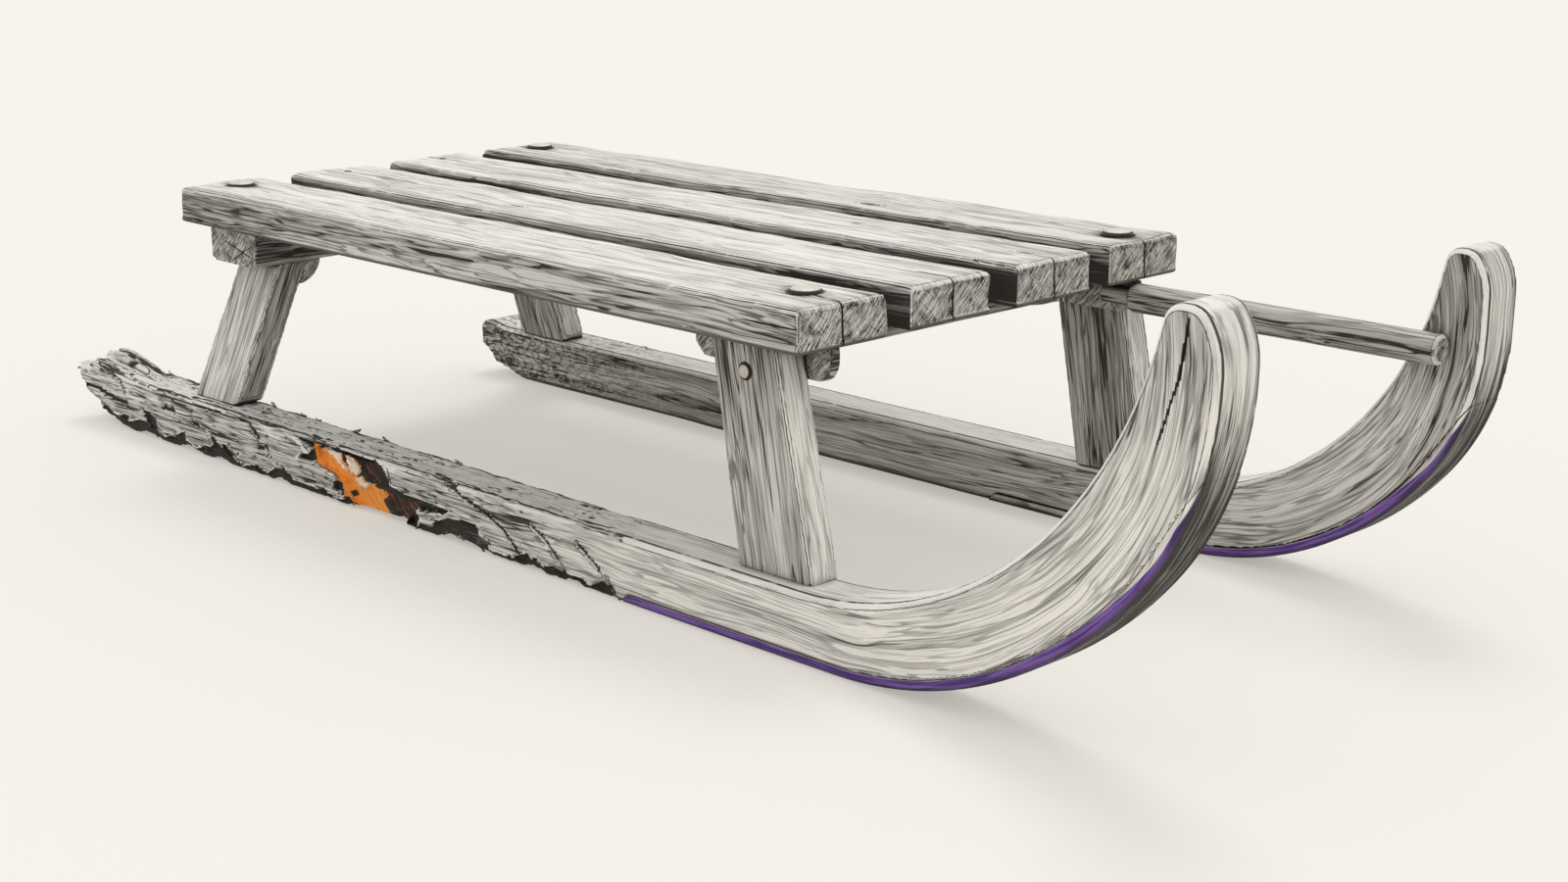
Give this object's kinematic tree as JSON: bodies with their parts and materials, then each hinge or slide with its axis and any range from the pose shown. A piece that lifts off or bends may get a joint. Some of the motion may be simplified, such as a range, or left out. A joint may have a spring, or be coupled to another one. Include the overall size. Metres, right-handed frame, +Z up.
{
  "type": "low slatted wooden sled",
  "caption": "Low wooden sled: slatted deck on bearers and legs over two runners with upswept horns, one runner rotten at the rear.",
  "frame": {"origin": "on the ground at the middle of the sled's bounding box", "axes": "+X forward towards the horns, +Y to the sled's left, +Z up"},
  "size_m": [1.3462, 0.452, 0.3019],
  "materials": {
    "weathered_wood": "bare weathered grey wood, open grain",
    "runner_wood": "bare weathered grey wood, worn smooth on the horns, rotten at the right rear",
    "purple_sole": "hardwood strip stained purple on its edges, worn bare on the running face",
    "dark_iron": "old blackened iron of the bolt and nail heads"
  },
  "bodies": {
    "root": {"slat_1": "weathered_wood", "slat_2": "weathered_wood", "slat_3": "weathered_wood", "slat_4": "weathered_wood", "front_bearer": "weathered_wood", "rear_bearer": "weathered_wood", "right_front_leg": "weathered_wood", "left_front_leg": "weathered_wood", "right_rear_leg": "weathered_wood", "left_rear_leg": "weathered_wood", "right_corner_block": "weathered_wood", "left_corner_block": "weathered_wood", "right_runner": "runner_wood", "left_runner": "runner_wood", "right_sole": "purple_sole", "left_sole": "purple_sole", "left_stay_rod": "weathered_wood", "left_stay_peg": "weathered_wood"}
  },
  "joints": []
}
